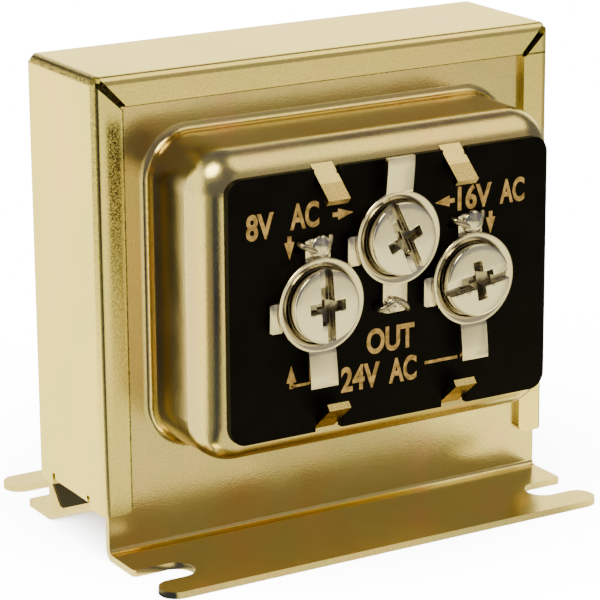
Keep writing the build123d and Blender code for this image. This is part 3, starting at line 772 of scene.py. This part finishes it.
def sector(first, second, soft):
    """The part of the floor between two bearings in degrees."""
    first, second, soft = (math.radians(angle) for angle in (first, second, soft))
    return soft_part(
        tree, (bearing, first - soft, first + soft), (bearing, second + soft, second - soft)
    )


# How far a place lies towards the front right, where the terminal side is mirrored
front_right = (0.508, -0.861, 0)
to_right = add(
    tree, "ShaderNodeVectorMath", {0: place, 1: front_right}, operation="DOT_PRODUCT"
).outputs["Value"]
# A dim patch before the front foot darkens the foot of the plate; right of it the floor is bright
foot_patch = (17 * mm, -37 * mm, 0)
from_patch = add(
    tree, "ShaderNodeVectorMath", {0: place, 1: foot_patch}, operation="DISTANCE"
).outputs["Value"]
front = gathered(
    tree, "ADD", 1.5,
    soft_part(tree, (to_right, 45 * mm, 75 * mm), most=0.3),
    soft_part(tree, (to_right, 198 * mm, 235 * mm), most=-0.75),
    soft_part(tree, (from_patch, 22 * mm, 10 * mm), most=-0.45),
    soft_part(tree, (across_x, 23 * mm, 30 * mm), (to_right, 75 * mm, 55 * mm), most=1.3),
)
# The strip close in front of the foot is part of the front, however far right it runs
near_front = soft_part(
    tree, (along_y, -8 * mm, -12 * mm), (across_x, -22 * mm, -16 * mm), (to_right, 75 * mm, 55 * mm)
)
not_near = add(tree, "ShaderNodeMath", {0: 1.0, 1: near_front}, operation="SUBTRACT").outputs["Value"]
glows = (
    (gathered(tree, "MAXIMUM", sector(-117, -35, 3), near_front), front),
    (sector(-140, -117, 3), 0.03),
    (sector(-160, -140, 3), 0.42),
    (gathered(tree, "MULTIPLY", sector(-35, 45, 10), not_near), 0.5),
)
# What is left over lies behind
taken = gathered(tree, "ADD", *(part for part, strength in glows))
behind = add(tree, "ShaderNodeMath", {0: 1.0, 1: taken}, operation="SUBTRACT").outputs["Value"]
level = gathered(
    tree, "ADD", gathered(tree, "MULTIPLY", behind, 3.0),
    *(gathered(tree, "MULTIPLY", part, strength) for part, strength in glows)
)
light_colour = (1.0, 0.88, 0.37)
# A little cool light everywhere keeps the dark reflections from turning orange
cool_light = (0.02, 0.035, 0.1)
glow_colour = add(
    tree, "ShaderNodeVectorMath", {0: light_colour, 1: level, 2: cool_light}, operation="MULTIPLY_ADD"
)
card_glow = add(tree, "ShaderNodeEmission", {"Color": glow_colour.outputs["Vector"]})
tree.links.new(card_glow.outputs["Emission"], tree.nodes["Material Output"].inputs["Surface"])
mirrored_floor.data.materials.append(glow_card)
for kind in ("camera", "diffuse", "shadow", "transmission", "volume_scatter"):
    setattr(mirrored_floor, "visible_" + kind, False)

world = bpy.data.worlds.new("studio")
bpy.context.scene.world = world
world.use_nodes = True
tree = world.node_tree
direction = add(tree, "ShaderNodeTexCoord").outputs["Generated"]
ray = add(tree, "ShaderNodeLightPath")


def softbox(towards, inner, outer, strength):
    """A round soft light in the sky: full within one angle and gone at another, in degrees."""
    aim = Vector(towards).normalized()
    near = add(tree, "ShaderNodeVectorMath", {0: direction, 1: aim}, operation="DOT_PRODUCT")
    gone, full = (math.cos(math.radians(angle)) for angle in (outer, inner))
    return soft_part(tree, (near.outputs["Value"], gone, full), most=strength)


# Low behind at the right and at the left, high at the left and at the right, faint in front
softboxes = gathered(
    tree, "ADD",
    softbox((0.49, 0.83, 0.10), 26, 40, 2.7),
    softbox((-0.85, 0.5, 0.1), 30, 50, 2.4),
    softbox((-0.5, -0.12, 0.86), 11, 17, 16.0),
    softbox((0.5, -0.22, 0.84), 12, 26, 2.2),
    softbox((0.48, -0.81, 0.40), 14, 30, 0.25),
)
# Between the lights the room is dim
room_light = (0.19, 0.18, 0.19)
room = add(
    tree, "ShaderNodeVectorMath", {0: light_colour, 1: softboxes, 2: room_light},
    operation="MULTIPLY_ADD",
)
seen = add(
    tree, "ShaderNodeMix",
    {0: ray.outputs["Is Glossy Ray"], 6: (1, 1, 1, 1), 7: room.outputs["Vector"]}, data_type="RGBA",
)
tree.links.new(seen.outputs[2], tree.nodes["Background"].inputs["Color"])

# The camera looks past the middle of the part, from 338 mm away
camera_data = bpy.data.cameras.new("camera")
camera_data.lens = 174.65
camera_data.clip_start = 0.01
camera = bpy.data.objects.new("camera", camera_data)
bpy.context.scene.collection.objects.link(camera)
camera_distance = 338.1 * mm
aim_point = Vector((0.68, 0, 23.85)) * mm
yaw, pitch, roll = (math.radians(angle) for angle in (30.58, 16.42, -0.391))
forward = Vector((math.sin(yaw) * math.cos(pitch), math.cos(yaw) * math.cos(pitch), -math.sin(pitch)))
level_right = Vector((math.cos(yaw), -math.sin(yaw), 0))
level_up = level_right.cross(forward)
right = math.cos(roll) * level_right + math.sin(roll) * level_up
upward = -math.sin(roll) * level_right + math.cos(roll) * level_up
turned = Matrix((right, upward, -forward)).transposed().to_4x4()
camera.matrix_world = Matrix.Translation(aim_point - forward * camera_distance) @ turned
bpy.context.scene.camera = camera
